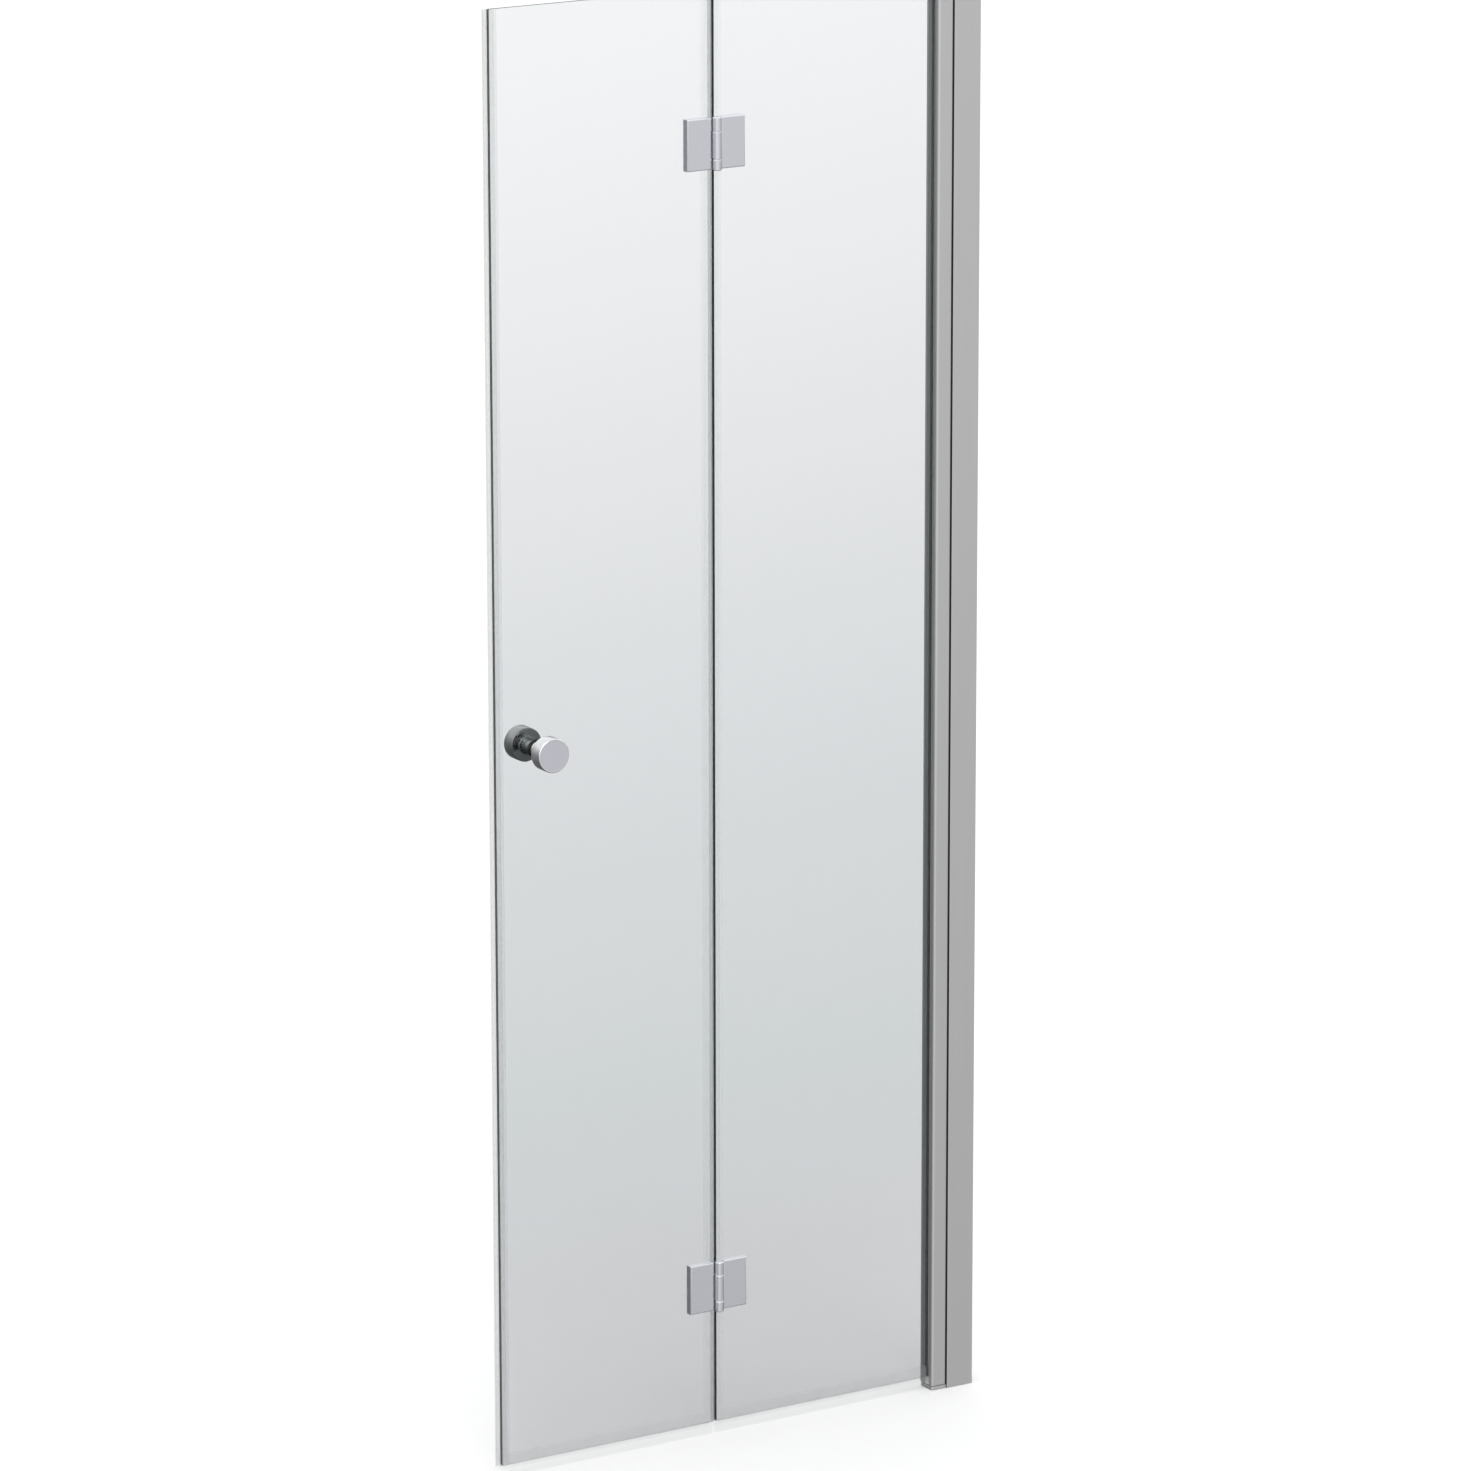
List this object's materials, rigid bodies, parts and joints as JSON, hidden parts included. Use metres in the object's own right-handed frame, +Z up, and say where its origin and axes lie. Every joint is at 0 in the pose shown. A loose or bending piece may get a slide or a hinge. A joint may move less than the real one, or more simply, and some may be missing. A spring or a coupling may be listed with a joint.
{
  "type": "bifold shower door",
  "caption": "Frameless bifold shower door: glass leaves joined by glass-to-glass hinges, a turning pivot profile in an adjustable wall profile, clip-on seals and a double-sided round knob.",
  "frame": {"origin": "on the wall plane, at the middle plane of the glass, at the height of the tray", "axes": "+X out of the back of the wall profile into the wall, so the door runs towards -X; -Y towards the outside of the shower, +Y towards the inside; +Z up"},
  "size_m": [0.7433, 0.09, 1.95],
  "materials": {
    "satin_aluminium": "satin silver anodised, drawn along its length",
    "grey_plastic": "moulded, silver grey",
    "black_rubber": "matt extruded",
    "cast_zinc": "silver coated casting",
    "white_nylon": "moulded",
    "clear_glass": "clear toughened, polished edges",
    "clear_pvc": "clear soft extruded",
    "satin_chrome": "satin chrome plated",
    "polished_chrome": "polished chrome with a fine turned face",
    "stainless_steel": "plain"
  },
  "bodies": {
    "frame": {"wall_profile": "satin_aluminium", "wall_top_cap": "grey_plastic", "adjusting_profile": "satin_aluminium", "adjusting_screws": "stainless_steel", "gap_strip": "black_rubber", "lower_bearing_plate": "cast_zinc", "upper_bearing_plate": "cast_zinc", "lower_plate_screws": "stainless_steel", "upper_plate_screws": "stainless_steel", "lower_pivot_pin": "stainless_steel", "upper_pivot_pin": "stainless_steel"},
    "inner_panel": {"pivot_profile": "satin_aluminium", "lower_pivot_bush": "white_nylon", "upper_pivot_bush": "white_nylon", "setting_block": "grey_plastic", "glazing_gasket": "black_rubber", "inner_glass": "clear_glass", "inner_bottom_seal": "clear_pvc", "inner_fold_seal": "clear_pvc", "upper_hinge_inner_leaf": "satin_chrome", "upper_hinge_inner_plate": "satin_chrome", "upper_hinge_inner_pads": "white_nylon", "upper_hinge_inner_screws": "stainless_steel", "upper_hinge_pin": "stainless_steel", "lower_hinge_inner_leaf": "satin_chrome", "lower_hinge_inner_plate": "satin_chrome", "lower_hinge_inner_pads": "white_nylon", "lower_hinge_inner_screws": "stainless_steel", "lower_hinge_pin": "stainless_steel"},
    "outer_panel": {"outer_glass": "clear_glass", "leading_seal": "clear_pvc", "outer_bottom_seal": "clear_pvc", "outer_fold_seal": "clear_pvc", "upper_hinge_outer_leaf": "satin_chrome", "upper_hinge_outer_plate": "satin_chrome", "upper_hinge_outer_pads": "white_nylon", "upper_hinge_outer_screws": "stainless_steel", "lower_hinge_outer_leaf": "satin_chrome", "lower_hinge_outer_plate": "satin_chrome", "lower_hinge_outer_pads": "white_nylon", "lower_hinge_outer_screws": "stainless_steel", "outside_knob": "polished_chrome", "inside_knob": "polished_chrome", "knob_stud": "stainless_steel", "knob_washers": "black_rubber", "knob_grub_screws": "stainless_steel"}
  },
  "joints": [
    {"name": "wall_pivot", "type": "hinge", "parent": "frame", "child": "inner_panel", "pos_m": [-0.0502, 0.0095, 0], "axis": [0, 0, 1], "range_deg": [-90, 0]},
    {"name": "fold_hinge", "type": "hinge", "parent": "inner_panel", "child": "outer_panel", "pos_m": [-0.4067, -0.0157, 0], "axis": [0, 0, 1], "range_deg": [0, 174]}
  ]
}
